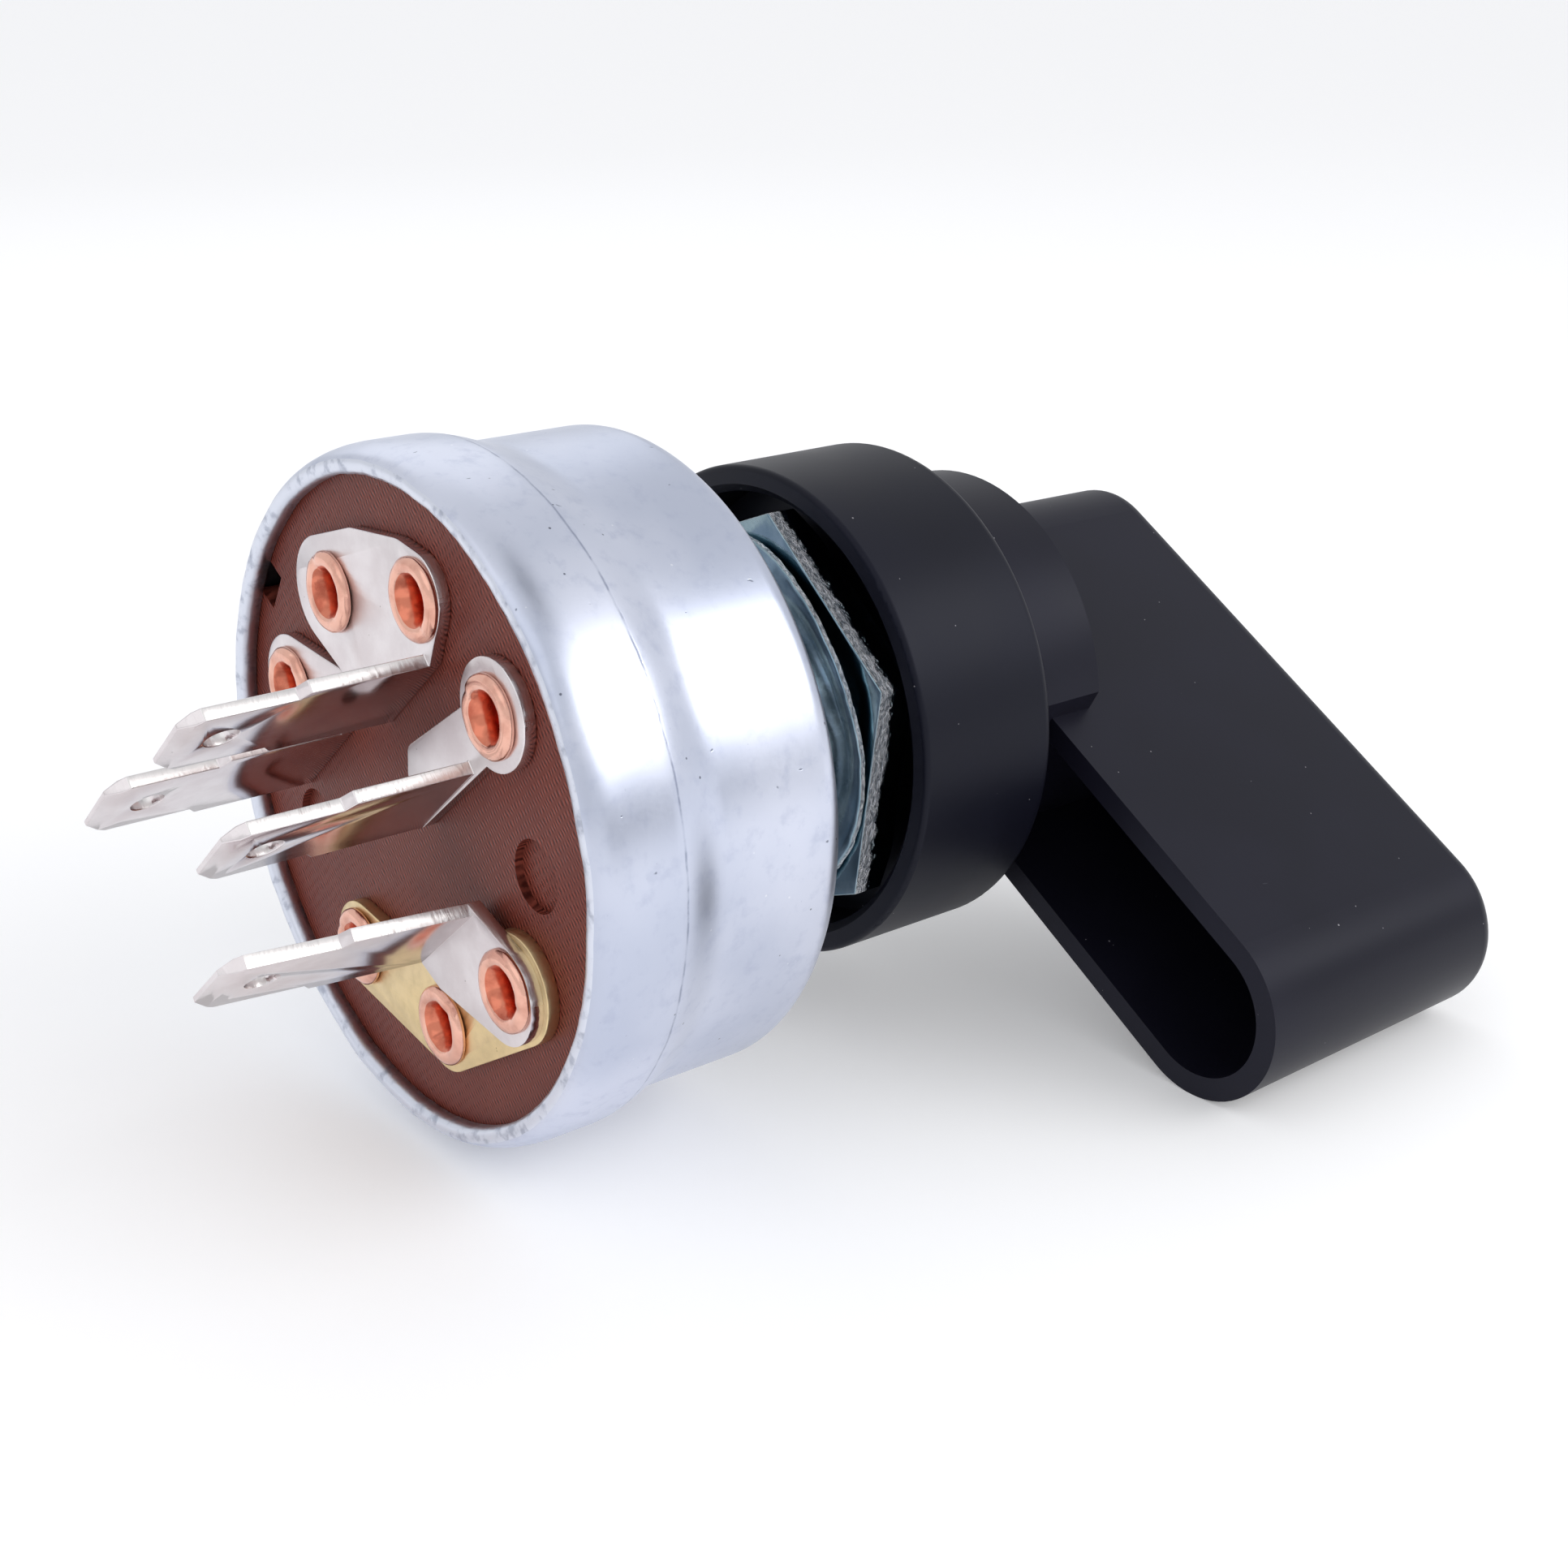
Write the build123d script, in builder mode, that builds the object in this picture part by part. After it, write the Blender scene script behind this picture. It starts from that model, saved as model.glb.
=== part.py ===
"""Panel-mounted rotary lever switch with blade terminals.

The shaft runs along Y.  The origin is on the shaft, on the front face of the thickest panel
that the switch fits: the can bears on the back of the panel, washer and nut on its front.
The lever is towards -Y, the terminals towards +Y, and Z is up.  Angles about the shaft are
measured from +X towards +Z.
"""

from build123d import *
from math import cos, radians, sin
import os

os.makedirs("parts", exist_ok=True)

# ---- driving dimensions, in millimetres and degrees -------------------------------------

SHEET = 0.85  # steel sheet of the can
BODY_R = 19.8  # can, outside
BAND_R = 20.75  # wider band that holds the terminal board
CAN_FRONT = 6.6  # front face, against the back of the panel
CAN_BACK = 24.0
CORNER_R = 1.6
BAND_START = 15.0
BAND_FULL = 19.0
CRIMP_START = 21.6
RIM_R = 20.0
LIP_R = 19.15

BOARD_R = 19.6
BOARD_T = 2.2
BOARD_BACK = CAN_BACK - 1.15  # rear face of the board, under the crimped lip
BOARD_FRONT = BOARD_BACK - BOARD_T
BOARD_PILOT_R = 1.5
SEAT_GAP = 0.05  # between parts that are clamped on each other
NOTCH_ANGLE = 31.0  # key notch in the edge of the board
NOTCH_WIDTH = 2.6
NOTCH_DEPTH = 1.9

CONTACT_R = 13.1  # circle that the moving contact's dimples run on
FIRST_INDEX = 20.0  # first of the nine index positions, 40 degrees apart
INDEX_COUNT = 9
# Radius and angle of each contact, by the strip that it holds.
CONTACTS = {
    "left": [(13.2, 18.0)],
    "upper": [(13.1, 60.0), (13.5, 104.0)],
    "right": [(13.4, 141.5)],
    "feed": [(13.9, 209.5)],
    "jumper": [(13.0, 253.5), (12.4, 298.5)],
}
BLANKS = [(13.0, 181.0), (13.0, 338.0)]  # places left without a contact
BLANK_R = 2.1
BLANK_DEPTH = 0.5

SHANK_R = 1.6
RIVET_HOLE_R = 1.65
FLANGE_R = 2.42
FLANGE_T = 0.55
EYELET_BORE_R = 1.05
EYELET_MOUTH_R = 1.6
BUTTON_R = 2.3
BUTTON_T = 0.9
BUTTON_EDGE = 0.25

STRIP = 0.8  # terminal and jumper strip
TAB_WIDTH = 6.35
TAB_ROOT_WIDTH = 7.8
TAB_SHOULDER = 8.35  # height of the shoulder above the foot's underside
TAB_SHOULDER_SLOPE = 0.5
TAB_LENGTH = 14.95  # height of the tip above the foot's underside
TAB_CUT_WIDTH = 0.95  # corner cuts at the tip
TAB_CUT_LENGTH = 1.25
TAB_BEVEL = 0.25  # bevel of the tip, across the thickness and along the blade
TAB_BEVEL_LENGTH = 0.8
TAB_HOLE_R = 1.0
TAB_HOLE_FROM_TIP = 3.1
TAB_DIRECTION = 140.0  # direction of the tabs' width

THREAD_R = 8.0  # M16 bush
THREAD_CORE_R = 7.6
THREAD_PITCH = 1.0
THREAD_START = CAN_FRONT - THREAD_PITCH
THREAD_HOLE_R = 8.06  # holes over the thread in the can, nut and ring
BUSH_FRONT = -12.4
BUSH_FLANGE_R = 11.0
BUSH_FLANGE_T = 1.2
BUSH_CHAMFER = 0.5

WASHER_R = 12.1
WASHER_HOLE_R = 8.3
WASHER_T = 0.5
WASHER_FRONT = -1.25
NUT_FLATS = 24.0
NUT_BACK = -1.5
NUT_FRONT = -4.2
NUT_CORNER_ANGLE = 39.0
NUT_CHAMFER = 1.1  # across the corners, at the front
NUT_CHAMFER_DEPTH = 0.6

RING_R = 15.9
RING_BACK = -2.6
RING_FRONT = -13.1
RING_CUP_R = 14.2
RING_CUP_END = -7.2
RING_FRONT_EDGE_R = 0.7
RING_BACK_EDGE_R = 0.35
RING_CUP_CHAMFER = 0.5

SHAFT_R = 4.0
RUNNING = 0.05  # radial running clearance
SHAFT_FRONT = -30.0
SHAFT_FLAT = 3.3  # height of the grub screw's flat above the axis
SHAFT_FLAT_LENGTH = 15.05
COLLAR_R = 6.0
COLLAR_T = 1.2
SHAFT_BACK = 15.6
SHAFT_CHAMFER = 0.5
DRIVE_FLAT = 3.2  # height of the two flats that drive the rotor
CIRCLIP_T = 0.8
CIRCLIP_R = 5.6
CIRCLIP_GROOVE_R = 3.4
CIRCLIP_OPENING = 3.2
CIRCLIP_GAP = 0.03

BUSH_FLANGE_BACK = CAN_FRONT + SHEET + BUSH_FLANGE_T
THRUST_WASHER_R = 6.6
THRUST_WASHER_T = 0.36
THRUST_GAP = 0.03
COLLAR_FRONT = BUSH_FLANGE_BACK + 0.45
COLLAR_BACK = COLLAR_FRONT + COLLAR_T

DETENT_PLATE_R = 16.0
DETENT_PLATE_HOLE_R = 7.2
DETENT_PLATE_T = 1.2
DETENT_TRACK_R = 12.0
DETENT_TRACK_DEPTH = 0.4
DETENT_HOLE_R = 1.2
BALL_R = 1.5
BALL_GAP = 0.03
POCKET_R = BALL_R + 0.06
POCKET_END = 15.6
DETENT_WIRE_R = 0.2
DETENT_COIL_R = 1.15
DETENT_TURNS = 4
DETENT_SPRING_GAP = 0.3

ROTOR_R = 16.8
ROTOR_FRONT = 10.5
ROTOR_BACK = 16.4
ROTOR_COLLAR_ROOM = 0.5
LUG_BACK = 19.0
LUG_R = 1.4
LUG_CIRCLE = 8.5

DISC_R = 15.6
DISC_HOLE_R = 5.0
DISC_T = 0.8
DISC_BACK = BOARD_FRONT - BUTTON_T - 0.9
DIMPLE_R = 1.6
DIMPLE_HEIGHT = 0.8
DIMPLE_ANGLES = (300.0, 60.0, 180.0)  # under the jumper's far end, and every 120 degrees
CONTACT_WIRE_R = 0.4
CONTACT_COIL_R = 5.75
CONTACT_TURNS = 2.5
CONTACT_SPRING_GAP = 0.45
SPRING_SEAT_DEPTH = 2.0

LEVER_ANGLE = 210.5  # direction in which the lever points
BOSS_R = 13.05
BOSS_BACK = -13.45
BOSS_FRONT = -20.0
BOSS_TRIM = 10.6
LEVER_BACK = -16.6
LEVER_FRONT = -39.0
LEVER_HALF = 6.15
LEVER_REACH = 36.1
LEVER_BUTT = 11.0
LEVER_DRAFT = 0.8
LEVER_WALL = 1.5
LEVER_FLOOR_T = 1.6  # front wall
LEVER_EDGE_R = 1.3
CIRCLIP_RECESS_R = 7.0
CIRCLIP_RECESS_DEPTH = 1.0
SOCKET_END_GAP = 0.5
GRUB_R = 1.5
GRUB_LENGTH = 7.0
GRUB_Y = -17.3
GRUB_CHAMFER = 0.3
GRUB_SLOT_WIDTH = 0.5
GRUB_SLOT_DEPTH = 0.8

CAVITY_R = 17.6  # inside of the ring under the board


def at_y(y):
    """Plane square to the shaft: its local axes are X and Z, and its normal is -Y."""
    return Plane.XZ.offset(-y)


def polar(radius, angle):
    """Local place in an at_y plane."""
    return (radius * cos(radians(angle)), radius * sin(radians(angle)))


def save(part, name):
    part.label = name
    export_step(part, f"parts/{name}.step")


# ---- can --------------------------------------------------------------------------------

with BuildPart() as can_housing:
    with BuildSketch(Plane.XY):
        with BuildLine():
            Line((THREAD_HOLE_R, CAN_FRONT), (BODY_R - CORNER_R, CAN_FRONT))
            CenterArc((BODY_R - CORNER_R, CAN_FRONT + CORNER_R), CORNER_R, -90, 90)
            Line((BODY_R, CAN_FRONT + CORNER_R), (BODY_R, BAND_START))
            Spline((BODY_R, BAND_START), (BAND_R, BAND_FULL), tangents=((0, 1), (0, 1)))
            Line((BAND_R, BAND_FULL), (BAND_R, CRIMP_START))
            Spline((BAND_R, CRIMP_START), (RIM_R, CAN_BACK), tangents=((0, 1), (-1, 1.1)))
            Line((RIM_R, CAN_BACK), (LIP_R, CAN_BACK))
            Line((LIP_R, CAN_BACK), (LIP_R, BOARD_BACK + SEAT_GAP))
            Line((LIP_R, BOARD_BACK + SEAT_GAP), (BAND_R - SHEET, BOARD_BACK + SEAT_GAP))
            Line((BAND_R - SHEET, BOARD_BACK + SEAT_GAP), (BAND_R - SHEET, BAND_FULL))
            Line((BAND_R - SHEET, BAND_FULL), (BODY_R - SHEET, BAND_START))
            Line((BODY_R - SHEET, BAND_START), (BODY_R - SHEET, CAN_FRONT + CORNER_R))
            CenterArc((BODY_R - CORNER_R, CAN_FRONT + CORNER_R), CORNER_R - SHEET, 0, -90)
            Line((BODY_R - CORNER_R, CAN_FRONT + SHEET), (THREAD_HOLE_R, CAN_FRONT + SHEET))
            Line((THREAD_HOLE_R, CAN_FRONT + SHEET), (THREAD_HOLE_R, CAN_FRONT))
        make_face()
    revolve(axis=Axis.Y)
save(can_housing.part, "can_housing")

# Insulating ring that holds the board up against the crimped lip.
with BuildPart() as spacer_ring:
    with BuildSketch(at_y(BAND_FULL + 2 * SEAT_GAP)):
        Circle(BAND_R - SHEET - 2 * SEAT_GAP)
        Circle(CAVITY_R, mode=Mode.SUBTRACT)
    extrude(amount=-(BOARD_FRONT - BAND_FULL - 2 * SEAT_GAP))
save(spacer_ring.part, "spacer_ring")

# ---- bush and what is screwed on it -----------------------------------------------------

with BuildPart() as threaded_bush:
    with BuildSketch(at_y(CAN_FRONT + SHEET)):
        Circle(BUSH_FLANGE_R)
    extrude(amount=-BUSH_FLANGE_T)
    with BuildSketch(at_y(CAN_FRONT + SHEET)):
        Circle(THREAD_R)
    extrude(amount=CAN_FRONT + SHEET - BUSH_FRONT)
    chamfer(threaded_bush.edges().sort_by(Axis.Y)[0], BUSH_CHAMFER)
    groove_count = int((THREAD_START - BUSH_FRONT) / THREAD_PITCH)
    groove_places = [(THREAD_R, THREAD_START - THREAD_PITCH * turn) for turn in range(groove_count)]
    with BuildSketch(Plane.XY):
        with Locations(groove_places):
            Polygon((0.1, 0.4), (THREAD_CORE_R - THREAD_R, 0), (0.1, -0.4), align=None)
    revolve(axis=Axis.Y, mode=Mode.SUBTRACT)
    with BuildSketch(at_y(BUSH_FLANGE_BACK)):
        Circle(SHAFT_R + RUNNING)
    extrude(amount=BUSH_FLANGE_BACK - BUSH_FRONT, mode=Mode.SUBTRACT)
save(threaded_bush.part, "threaded_bush")

with BuildPart() as wave_washer:
    with BuildSketch(at_y(WASHER_FRONT)):
        Circle(WASHER_R)
        Circle(WASHER_HOLE_R, mode=Mode.SUBTRACT)
    extrude(amount=-WASHER_T)
save(wave_washer.part, "wave_washer")

NUT_CORNER_R = NUT_FLATS / 2 / cos(radians(30))

with BuildPart() as hex_nut:
    with BuildSketch(at_y(NUT_BACK)):
        RegularPolygon(NUT_CORNER_R, 6, rotation=NUT_CORNER_ANGLE)
        Circle(THREAD_HOLE_R, mode=Mode.SUBTRACT)
    extrude(amount=NUT_BACK - NUT_FRONT)
    with BuildSketch(Plane.XY):
        with Locations((NUT_CORNER_R, NUT_FRONT)):
            Polygon((0, 0), (-NUT_CHAMFER, 0), (0, NUT_CHAMFER_DEPTH), align=None)
    revolve(axis=Axis.Y, mode=Mode.SUBTRACT)
save(hex_nut.part, "hex_nut")

# Black ring on the bush: its back is a cup over the nut, its front a web with the thread.
with BuildPart() as bezel_ring:
    with BuildSketch(at_y(RING_BACK)):
        Circle(RING_R)
    extrude(amount=RING_BACK - RING_FRONT)
    fillet(bezel_ring.edges().sort_by(Axis.Y)[0], RING_FRONT_EDGE_R)
    fillet(bezel_ring.edges().sort_by(Axis.Y)[-1], RING_BACK_EDGE_R)
    with BuildSketch(at_y(RING_BACK)):
        Circle(RING_CUP_R)
    extrude(amount=RING_BACK - RING_CUP_END, mode=Mode.SUBTRACT)
    cup_mouth = bezel_ring.faces().sort_by(Axis.Y)[-1].edges().sort_by(SortBy.RADIUS)[0]
    chamfer(cup_mouth, RING_CUP_CHAMFER)
    with BuildSketch(at_y(RING_BACK)):
        Circle(THREAD_HOLE_R)
    extrude(amount=RING_BACK - RING_FRONT, mode=Mode.SUBTRACT)
save(bezel_ring.part, "bezel_ring")

# ---- terminal board, terminals and eyelets ----------------------------------------------

rivet_places = {
    strip: [polar(radius, angle) for radius, angle in places]
    for strip, places in CONTACTS.items()
}
all_rivets = [place for places in rivet_places.values() for place in places]

with BuildPart() as base_board:
    with BuildSketch(at_y(BOARD_BACK)):
        Circle(BOARD_R)
        Circle(BOARD_PILOT_R, mode=Mode.SUBTRACT)
        with Locations(all_rivets):
            Circle(RIVET_HOLE_R, mode=Mode.SUBTRACT)
        with Locations(Location(polar(BOARD_R, NOTCH_ANGLE), NOTCH_ANGLE)):
            Rectangle(2 * NOTCH_DEPTH, NOTCH_WIDTH, mode=Mode.SUBTRACT)
    extrude(amount=BOARD_T)
    with BuildSketch(at_y(BOARD_BACK)):
        with Locations([polar(radius, angle) for radius, angle in BLANKS]):
            Circle(BLANK_R)
    extrude(amount=BLANK_DEPTH, mode=Mode.SUBTRACT)
save(base_board.part, "base_board")


def hull_of(circles, root=None):
    """Sketch of the outline round circles, each (x, z, radius), and round a blade's root."""
    with BuildSketch() as outline:
        for x, z, radius in circles:
            with Locations((x, z)):
                Circle(radius)
        if root:
            with Locations(Location(root, TAB_DIRECTION)):
                Rectangle(TAB_ROOT_WIDTH, STRIP)
        make_hull()
    return outline.sketch


def tab_terminal(feet, root, foot, end=None, raised=0.0, lean=0.0):
    """Tab terminal: a flat foot riveted to the board and a blade bent up from it.

    feet are the places of its rivets and root is the middle of the bend.  The foot is the
    outline round the root and the circles in foot, with one more circle, end, beside it.
    raised is the height of what it lies on, and lean the blade's angle away from square.
    """
    base = BOARD_BACK + raised
    width_x, width_z = polar(1, TAB_DIRECTION)
    across = cos(radians(lean))
    blade_plane = Plane(
        origin=(root[0], base, root[1]),
        x_dir=(width_x, 0, width_z),
        z_dir=(-width_z * across, sin(radians(lean)), width_x * across),
    )
    half_root = TAB_ROOT_WIDTH / 2
    half_tab = TAB_WIDTH / 2
    with BuildPart() as terminal:
        with BuildSketch(at_y(base)):
            add(hull_of(foot, root))
            if end:
                add(hull_of([end]))
        extrude(amount=-STRIP)
        with BuildSketch(blade_plane):
            with BuildLine():
                Polyline(
                    (-half_root, 0),
                    (half_root, 0),
                    (half_root, TAB_SHOULDER - TAB_SHOULDER_SLOPE),
                    (half_tab, TAB_SHOULDER),
                    (half_tab, TAB_LENGTH - TAB_CUT_LENGTH),
                    (half_tab - TAB_CUT_WIDTH, TAB_LENGTH),
                    (TAB_CUT_WIDTH - half_tab, TAB_LENGTH),
                    (-half_tab, TAB_LENGTH - TAB_CUT_LENGTH),
                    (-half_tab, TAB_SHOULDER),
                    (-half_root, TAB_SHOULDER - TAB_SHOULDER_SLOPE),
                    close=True,
                )
            make_face()
            with Locations((0, TAB_LENGTH - TAB_HOLE_FROM_TIP)):
                Circle(TAB_HOLE_R, mode=Mode.SUBTRACT)
        extrude(amount=STRIP / 2, both=True)
        tip = terminal.faces().sort_by(Axis.Y)[-1]
        tip_edges = tip.edges().sort_by(SortBy.LENGTH)[-2:]
        chamfer(tip_edges, TAB_BEVEL, TAB_BEVEL_LENGTH, reference=tip)
        with BuildSketch(at_y(base)):
            with Locations(feet):
                Circle(RIVET_HOLE_R)
        extrude(amount=-STRIP, mode=Mode.SUBTRACT)
    return terminal.part


terminals = {
    "terminal_upper": tab_terminal(
        feet=rivet_places["upper"],
        root=(-1.0, 7.3),
        foot=[(7.6, 11.1, 3.3), (-3.0, 13.2, 2.6), (3.4, 12.8, 2.9), (-1.2, 13.2, 2.9)],
    ),
    "terminal_left": tab_terminal(
        feet=rivet_places["left"],
        root=(9.9, 0.3),
        foot=[(12.55, 4.08, 3.15), (6.3, 6.0, 0.7)],
    ),
    "terminal_right": tab_terminal(
        feet=rivet_places["right"],
        root=(-5.2, 2.3),
        foot=[(-7.9, 7.7, 0.6), (-2.0, 3.6, 0.8), (-1.8, 2.4, 0.7), (-9.8, 6.2, 0.7)],
        end=(-10.5, 8.4, 3.2),
    ),
    "terminal_feed": tab_terminal(
        feet=rivet_places["feed"],
        root=(-5.6, -5.8),
        foot=[(-11.5, -7.3, 3.0), (-4.9, -9.0, 0.5)],
        raised=STRIP,
        lean=3.9,
    ),
}
for name, part in terminals.items():
    save(part, name)

# Brass strip that joins the feed terminal to the next two contacts.
(corner_x, corner_z), (end_x, end_z) = rivet_places["jumper"]

with BuildPart() as jumper_plate:
    with BuildSketch(at_y(BOARD_BACK)):
        add(hull_of([(end_x, end_z, 2.8), (corner_x, corner_z, 2.9)]))
        add(hull_of([(corner_x, corner_z, 2.9), (-11.6, -7.2, 3.3)]))
        with Locations(rivet_places["jumper"] + rivet_places["feed"]):
            Circle(RIVET_HOLE_R, mode=Mode.SUBTRACT)
    extrude(amount=-STRIP)
save(jumper_plate.part, "jumper_plate")


def eyelet(place, strip_count):
    """Copper eyelet: rolled flange at the back, button contact at the front of the board."""
    flange = BOARD_BACK + STRIP * strip_count
    mouth = flange + FLANGE_T
    profile_plane = Plane(origin=(place[0], 0, place[1]), x_dir=(1, 0, 0), z_dir=(0, 0, 1))
    button_front = BOARD_FRONT - BUTTON_T
    with BuildPart() as rivet:
        with BuildSketch(profile_plane):
            with BuildLine():
                Line((0, button_front), (0.8, button_front))
                Spline(
                    (0.8, button_front),
                    (BUTTON_R, BOARD_FRONT - BUTTON_EDGE),
                    tangents=((1, 0), (0.2, 1)),
                )
                Line((BUTTON_R, BOARD_FRONT - BUTTON_EDGE), (BUTTON_R, BOARD_FRONT))
                Line((BUTTON_R, BOARD_FRONT), (SHANK_R, BOARD_FRONT))
                Line((SHANK_R, BOARD_FRONT), (SHANK_R, flange))
                Line((SHANK_R, flange), (FLANGE_R, flange))
                Line((FLANGE_R, flange), (FLANGE_R, flange + 0.2))
                Spline(
                    (FLANGE_R, flange + 0.2),
                    ((FLANGE_R + EYELET_MOUTH_R) / 2, mouth),
                    (EYELET_BORE_R, flange - 0.55),
                    tangents=((0, 1), (0, -1)),
                )
                Line((EYELET_BORE_R, flange - 0.55), (EYELET_BORE_R, BOARD_FRONT + 0.2))
                Line((EYELET_BORE_R, BOARD_FRONT + 0.2), (0, BOARD_FRONT + 0.2))
                Line((0, BOARD_FRONT + 0.2), (0, button_front))
            make_face()
        revolve(axis=Axis(origin=(place[0], 0, place[1]), direction=(0, 1, 0)))
    return rivet.part


eyelets = [
    eyelet(place, 2 if group == "feed" else 1)
    for group, places in rivet_places.items()
    for place in places
]
save(Compound(children=eyelets), "contact_eyelets")

# ---- shaft, detent and moving contact ---------------------------------------------------

with BuildPart() as thrust_washer:
    with BuildSketch(at_y(BUSH_FLANGE_BACK + THRUST_GAP)):
        Circle(THRUST_WASHER_R)
        Circle(SHAFT_R + 3 * RUNNING, mode=Mode.SUBTRACT)
    extrude(amount=-THRUST_WASHER_T)
save(thrust_washer.part, "thrust_washer")

CIRCLIP_BACK = BUSH_FRONT - 0.12

with BuildPart() as shaft:
    with BuildSketch(at_y(SHAFT_BACK)):
        Circle(SHAFT_R)
    extrude(amount=SHAFT_BACK - SHAFT_FRONT)
    with BuildSketch(at_y(COLLAR_BACK)):
        Circle(COLLAR_R)
    extrude(amount=COLLAR_T)
    chamfer(shaft.edges().sort_by(Axis.Y)[0], SHAFT_CHAMFER)
    # circlip groove
    with BuildSketch(at_y(CIRCLIP_BACK + CIRCLIP_GAP)):
        Circle(SHAFT_R + 1)
        Circle(CIRCLIP_GROOVE_R, mode=Mode.SUBTRACT)
    extrude(amount=CIRCLIP_T + 2 * CIRCLIP_GAP, mode=Mode.SUBTRACT)
    # flat for the grub screw, on the side away from the upper flank of the lever
    with BuildSketch(at_y(SHAFT_FRONT)):
        with Locations(Location(polar(SHAFT_FLAT, LEVER_ANGLE + 90), LEVER_ANGLE + 90)):
            Rectangle(SHAFT_R, 3 * SHAFT_R, align=(Align.MIN, Align.CENTER))
    extrude(amount=-SHAFT_FLAT_LENGTH, mode=Mode.SUBTRACT)
    # two flats that drive the rotor
    with BuildSketch(at_y(SHAFT_BACK)):
        for side in (0, 180):
            with Locations(Location(polar(DRIVE_FLAT, side), side)):
                Rectangle(SHAFT_R, 3 * SHAFT_R, align=(Align.MIN, Align.CENTER))
    extrude(amount=SHAFT_BACK - COLLAR_BACK, mode=Mode.SUBTRACT)
save(shaft.part, "shaft")

with BuildPart() as shaft_circlip:
    with BuildSketch(at_y(CIRCLIP_BACK)):
        Circle(CIRCLIP_R)
        Circle(CIRCLIP_GROOVE_R + CIRCLIP_GAP, mode=Mode.SUBTRACT)
        with Locations(Location((0, 0), LEVER_ANGLE + 180)):
            Rectangle(8, CIRCLIP_OPENING, align=(Align.MIN, Align.CENTER), mode=Mode.SUBTRACT)
    extrude(amount=CIRCLIP_T)
save(shaft_circlip.part, "shaft_circlip")

DETENT_PLATE_BACK = BUSH_FLANGE_BACK + DETENT_PLATE_T
TRACK_FLOOR = DETENT_PLATE_BACK - DETENT_TRACK_DEPTH

with BuildPart() as detent_plate:
    with BuildSketch(at_y(BUSH_FLANGE_BACK)):
        Circle(DETENT_PLATE_R)
        Circle(DETENT_PLATE_HOLE_R, mode=Mode.SUBTRACT)
        with PolarLocations(DETENT_TRACK_R, INDEX_COUNT, start_angle=FIRST_INDEX):
            Circle(DETENT_HOLE_R, mode=Mode.SUBTRACT)
    extrude(amount=-DETENT_PLATE_T)
    with BuildSketch(at_y(DETENT_PLATE_BACK)):
        Circle(DETENT_TRACK_R + BALL_R)
        Circle(DETENT_TRACK_R - BALL_R, mode=Mode.SUBTRACT)
    extrude(amount=DETENT_TRACK_DEPTH, mode=Mode.SUBTRACT)
save(detent_plate.part, "detent_plate")

ball_x, ball_z = polar(DETENT_TRACK_R, FIRST_INDEX)
ball_y = TRACK_FLOOR + BALL_R + BALL_GAP

with BuildPart() as rotor:
    with BuildSketch(at_y(ROTOR_FRONT)):
        Circle(ROTOR_R)
    extrude(amount=-(ROTOR_BACK - ROTOR_FRONT))
    with BuildSketch(at_y(ROTOR_FRONT)):
        Circle(COLLAR_R + 1)
    extrude(amount=-ROTOR_COLLAR_ROOM, mode=Mode.SUBTRACT)
    # lugs that turn the contact disc
    with BuildSketch(at_y(ROTOR_BACK)):
        with PolarLocations(LUG_CIRCLE, 3, start_angle=FIRST_INDEX):
            Circle(LUG_R)
    extrude(amount=-(LUG_BACK - ROTOR_BACK))
    # ball pocket, and the shaft's double-D hole
    with BuildSketch(at_y(ROTOR_FRONT)):
        with Locations((ball_x, ball_z)):
            Circle(POCKET_R)
    extrude(amount=-(POCKET_END - ROTOR_FRONT), mode=Mode.SUBTRACT)
    with BuildSketch(at_y(ROTOR_FRONT)):
        Circle(SHAFT_R + RUNNING)
        with Locations((0, 0)):
            Rectangle(2 * (DRIVE_FLAT + RUNNING), 3 * SHAFT_R, mode=Mode.INTERSECT)
    extrude(amount=-(ROTOR_BACK - ROTOR_FRONT), mode=Mode.SUBTRACT)
    # seat of the contact spring
    with BuildSketch(at_y(ROTOR_BACK)):
        Circle(CONTACT_COIL_R + 2 * CONTACT_WIRE_R)
        Circle(CONTACT_COIL_R - 2 * CONTACT_WIRE_R, mode=Mode.SUBTRACT)
    extrude(amount=SPRING_SEAT_DEPTH, mode=Mode.SUBTRACT)
save(rotor.part, "rotor")

with BuildPart() as detent_ball:
    with Locations((ball_x, ball_y, ball_z)):
        Sphere(BALL_R)
save(detent_ball.part, "detent_ball")


def coil_spring(center, coil_r, wire_r, start_y, end_y, turns):
    """Open coil along +Y between two places."""
    with BuildPart() as spring:
        with BuildLine() as wire_path:
            Helix(
                pitch=(end_y - start_y) / turns,
                height=end_y - start_y,
                radius=coil_r,
                center=(center[0], start_y, center[1]),
                direction=(0, 1, 0),
            )
        start = wire_path.line @ 0
        with BuildSketch(Plane(origin=start, z_dir=wire_path.line % 0)):
            Circle(wire_r)
        sweep(path=wire_path.line, is_frenet=True)
    return spring.part


detent_spring = coil_spring(
    center=(ball_x, ball_z),
    coil_r=DETENT_COIL_R,
    wire_r=DETENT_WIRE_R,
    start_y=ball_y + BALL_R + DETENT_SPRING_GAP,
    end_y=POCKET_END - DETENT_SPRING_GAP,
    turns=DETENT_TURNS,
)
save(detent_spring, "detent_spring")

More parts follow.
